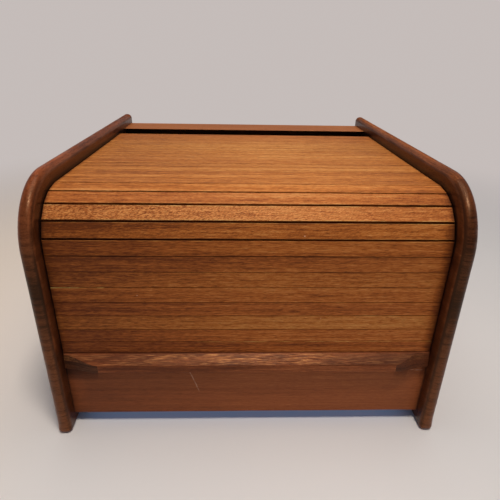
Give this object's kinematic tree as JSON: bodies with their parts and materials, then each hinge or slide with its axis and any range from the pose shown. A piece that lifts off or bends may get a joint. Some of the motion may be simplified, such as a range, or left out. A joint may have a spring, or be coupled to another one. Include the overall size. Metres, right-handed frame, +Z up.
{
  "type": "tambour lid box",
  "caption": "Wooden storage box whose front and top close with one sliding tambour of narrow slats, guided in grooves between two round-cornered side panels.",
  "frame": {"origin": "centre of the footprint, on the surface that the box stands on", "axes": "+X across the box between the side panels, +Y from the lift rail to the back, +Z up"},
  "size_m": [0.35, 0.36, 0.2365],
  "materials": {
    "panel_wood": "dark brown oiled hardwood, satin",
    "slat_wood": "orange-brown oiled teak, satin",
    "rail_wood": "reddish-brown oiled teak, satin",
    "board_wood": "plain pale plywood",
    "dowel_wood": "bare beech",
    "screw_brass": "dull brass"
  },
  "bodies": {
    "carcass": {"side_panel_left": "panel_wood", "side_panel_right": "panel_wood", "base_rail": "rail_wood", "rear_top_rail": "rail_wood", "bottom_panel": "board_wood", "back_panel": "board_wood", "inner_back_panel": "board_wood", "rear_cleat": "rail_wood", "back_screws": "screw_brass", "base_rail_dowels": "dowel_wood", "rear_top_rail_dowels": "dowel_wood"},
    "lift_rail": {"lift_rail": "rail_wood"},
    "top_run_slats": {"slat_13": "slat_wood", "slat_14": "slat_wood", "slat_15": "slat_wood", "slat_16": "slat_wood", "slat_17": "slat_wood", "slat_18": "slat_wood", "slat_19": "slat_wood", "slat_20": "slat_wood", "slat_21": "slat_wood"},
    "slat_01": {"slat_01": "slat_wood"},
    "slat_02": {"slat_02": "slat_wood"},
    "slat_03": {"slat_03": "slat_wood"},
    "slat_04": {"slat_04": "slat_wood"},
    "slat_05": {"slat_05": "slat_wood"},
    "slat_06": {"slat_06": "slat_wood"},
    "slat_07": {"slat_07": "slat_wood"},
    "slat_08": {"slat_08": "slat_wood"},
    "slat_09": {"slat_09": "slat_wood"},
    "slat_10": {"slat_10": "slat_wood"},
    "slat_11": {"slat_11": "slat_wood"},
    "slat_12": {"slat_12": "slat_wood"},
    "slat_22": {"slat_22": "slat_wood"},
    "slat_23": {"slat_23": "slat_wood"},
    "slat_24": {"slat_24": "slat_wood"},
    "slat_25": {"slat_25": "slat_wood"},
    "slat_26": {"slat_26": "slat_wood"},
    "slat_27": {"slat_27": "slat_wood"},
    "slat_28": {"slat_28": "slat_wood"}
  },
  "joints": [
    {"name": "lid_slide", "type": "slide", "parent": "carcass", "child": "lift_rail", "axis": [0, 0, 1], "range_m": [0, 0.096]},
    {"name": "top_run_slide", "type": "slide", "parent": "carcass", "child": "top_run_slats", "axis": [0, 1, 0], "range_m": [0, 0.0961]},
    {"name": "slat_01_turn", "type": "hinge", "parent": "carcass", "child": "slat_01", "pos_m": [0, 0.56164, 0.1299], "axis": [-1, 0, 0], "range_deg": [0, 7.6], "deforming": ["slat_01"]},
    {"name": "slat_02_turn", "type": "hinge", "parent": "carcass", "child": "slat_02", "pos_m": [0, 0.05384, 0.13802], "axis": [-1, 0, 0], "range_deg": [0, 25.2], "deforming": ["slat_02"]},
    {"name": "slat_03_turn", "type": "hinge", "parent": "carcass", "child": "slat_03", "pos_m": [0, -0.04233, 0.14502], "axis": [-1, 0, 0], "range_deg": [0, 44.51], "deforming": ["slat_03"]},
    {"name": "slat_04_turn", "type": "hinge", "parent": "carcass", "child": "slat_04", "pos_m": [0, -0.08096, 0.15211], "axis": [-1, 0, 0], "range_deg": [0, 64.26], "deforming": ["slat_04"]},
    {"name": "slat_05_turn", "type": "hinge", "parent": "carcass", "child": "slat_05", "pos_m": [0, -0.10078, 0.1589], "axis": [-1, 0, 0], "range_deg": [0, 83.72], "deforming": ["slat_05"]},
    {"name": "slat_06_turn", "type": "hinge", "parent": "carcass", "child": "slat_06", "pos_m": [0, -0.10488, 0.16138], "axis": [-1, 0, 0], "range_deg": [0, 90], "deforming": ["slat_06"]},
    {"name": "slat_07_turn", "type": "hinge", "parent": "carcass", "child": "slat_07", "pos_m": [0, -0.10488, 0.16138], "axis": [-1, 0, 0], "range_deg": [0, 90], "deforming": ["slat_07"]},
    {"name": "slat_08_turn", "type": "hinge", "parent": "carcass", "child": "slat_08", "pos_m": [0, -0.10272, 0.15778], "axis": [-1, 0, 0], "range_deg": [0, 84.46], "deforming": ["slat_08"]},
    {"name": "slat_09_turn", "type": "hinge", "parent": "carcass", "child": "slat_09", "pos_m": [0, -0.09626, 0.13985], "axis": [-1, 0, 0], "range_deg": [0, 66.11], "deforming": ["slat_09"]},
    {"name": "slat_10_turn", "type": "hinge", "parent": "carcass", "child": "slat_10", "pos_m": [0, -0.08952, 0.10568], "axis": [-1, 0, 0], "range_deg": [0, 47.09], "deforming": ["slat_10"]},
    {"name": "slat_11_turn", "type": "hinge", "parent": "carcass", "child": "slat_11", "pos_m": [0, -0.08281, 0.02831], "axis": [-1, 0, 0], "range_deg": [0, 28.51], "deforming": ["slat_11"]},
    {"name": "slat_12_turn", "type": "hinge", "parent": "carcass", "child": "slat_12", "pos_m": [0, -0.07338, -0.37161], "axis": [-1, 0, 0], "range_deg": [0, 9.31], "deforming": ["slat_12"]},
    {"name": "slat_22_turn", "type": "hinge", "parent": "carcass", "child": "slat_22", "pos_m": [0, 0.05244, -0.46352], "axis": [-1, 0, 0], "range_deg": [0, 8.06], "deforming": ["slat_22"]},
    {"name": "slat_23_turn", "type": "hinge", "parent": "carcass", "child": "slat_23", "pos_m": [0, 0.06247, 0.02701], "axis": [-1, 0, 0], "range_deg": [0, 28.32], "deforming": ["slat_23"]},
    {"name": "slat_24_turn", "type": "hinge", "parent": "carcass", "child": "slat_24", "pos_m": [0, 0.07001, 0.10965], "axis": [-1, 0, 0], "range_deg": [0, 48.7], "deforming": ["slat_24"]},
    {"name": "slat_25_turn", "type": "hinge", "parent": "carcass", "child": "slat_25", "pos_m": [0, 0.07723, 0.14349], "axis": [-1, 0, 0], "range_deg": [0, 69.09], "deforming": ["slat_25"]},
    {"name": "slat_26_turn", "type": "hinge", "parent": "carcass", "child": "slat_26", "pos_m": [0, 0.0837, 0.15967], "axis": [-1, 0, 0], "range_deg": [0, 87.17], "deforming": ["slat_26"]},
    {"name": "slat_27_turn", "type": "hinge", "parent": "carcass", "child": "slat_27", "pos_m": [0, 0.08486, 0.16136], "axis": [-1, 0, 0], "range_deg": [0, 90], "deforming": ["slat_27"]},
    {"name": "slat_28_turn", "type": "hinge", "parent": "carcass", "child": "slat_28", "pos_m": [0, 0.08486, 0.16136], "axis": [-1, 0, 0], "range_deg": [0, 90], "deforming": ["slat_28"]}
  ],
  "couplings": [
    {"joint": "top_run_slide", "follows": "lid_slide", "ratio": 1},
    {"joint": "slat_01_turn", "follows": "lid_slide", "rad_per_m": 1.3808},
    {"joint": "slat_02_turn", "follows": "lid_slide", "rad_per_m": 4.5803},
    {"joint": "slat_03_turn", "follows": "lid_slide", "rad_per_m": 8.0912},
    {"joint": "slat_04_turn", "follows": "lid_slide", "rad_per_m": 11.682},
    {"joint": "slat_05_turn", "follows": "lid_slide", "rad_per_m": 15.22},
    {"joint": "slat_06_turn", "follows": "lid_slide", "rad_per_m": 16.362},
    {"joint": "slat_07_turn", "follows": "lid_slide", "rad_per_m": 16.362},
    {"joint": "slat_08_turn", "follows": "lid_slide", "rad_per_m": 15.355},
    {"joint": "slat_09_turn", "follows": "lid_slide", "rad_per_m": 12.018},
    {"joint": "slat_10_turn", "follows": "lid_slide", "rad_per_m": 8.5607},
    {"joint": "slat_11_turn", "follows": "lid_slide", "rad_per_m": 5.1836},
    {"joint": "slat_12_turn", "follows": "lid_slide", "rad_per_m": 1.6923},
    {"joint": "slat_22_turn", "follows": "lid_slide", "rad_per_m": 1.4649},
    {"joint": "slat_23_turn", "follows": "lid_slide", "rad_per_m": 5.148},
    {"joint": "slat_24_turn", "follows": "lid_slide", "rad_per_m": 8.8542},
    {"joint": "slat_25_turn", "follows": "lid_slide", "rad_per_m": 12.56},
    {"joint": "slat_26_turn", "follows": "lid_slide", "rad_per_m": 15.849},
    {"joint": "slat_27_turn", "follows": "lid_slide", "rad_per_m": 16.362},
    {"joint": "slat_28_turn", "follows": "lid_slide", "rad_per_m": 16.362}
  ]
}
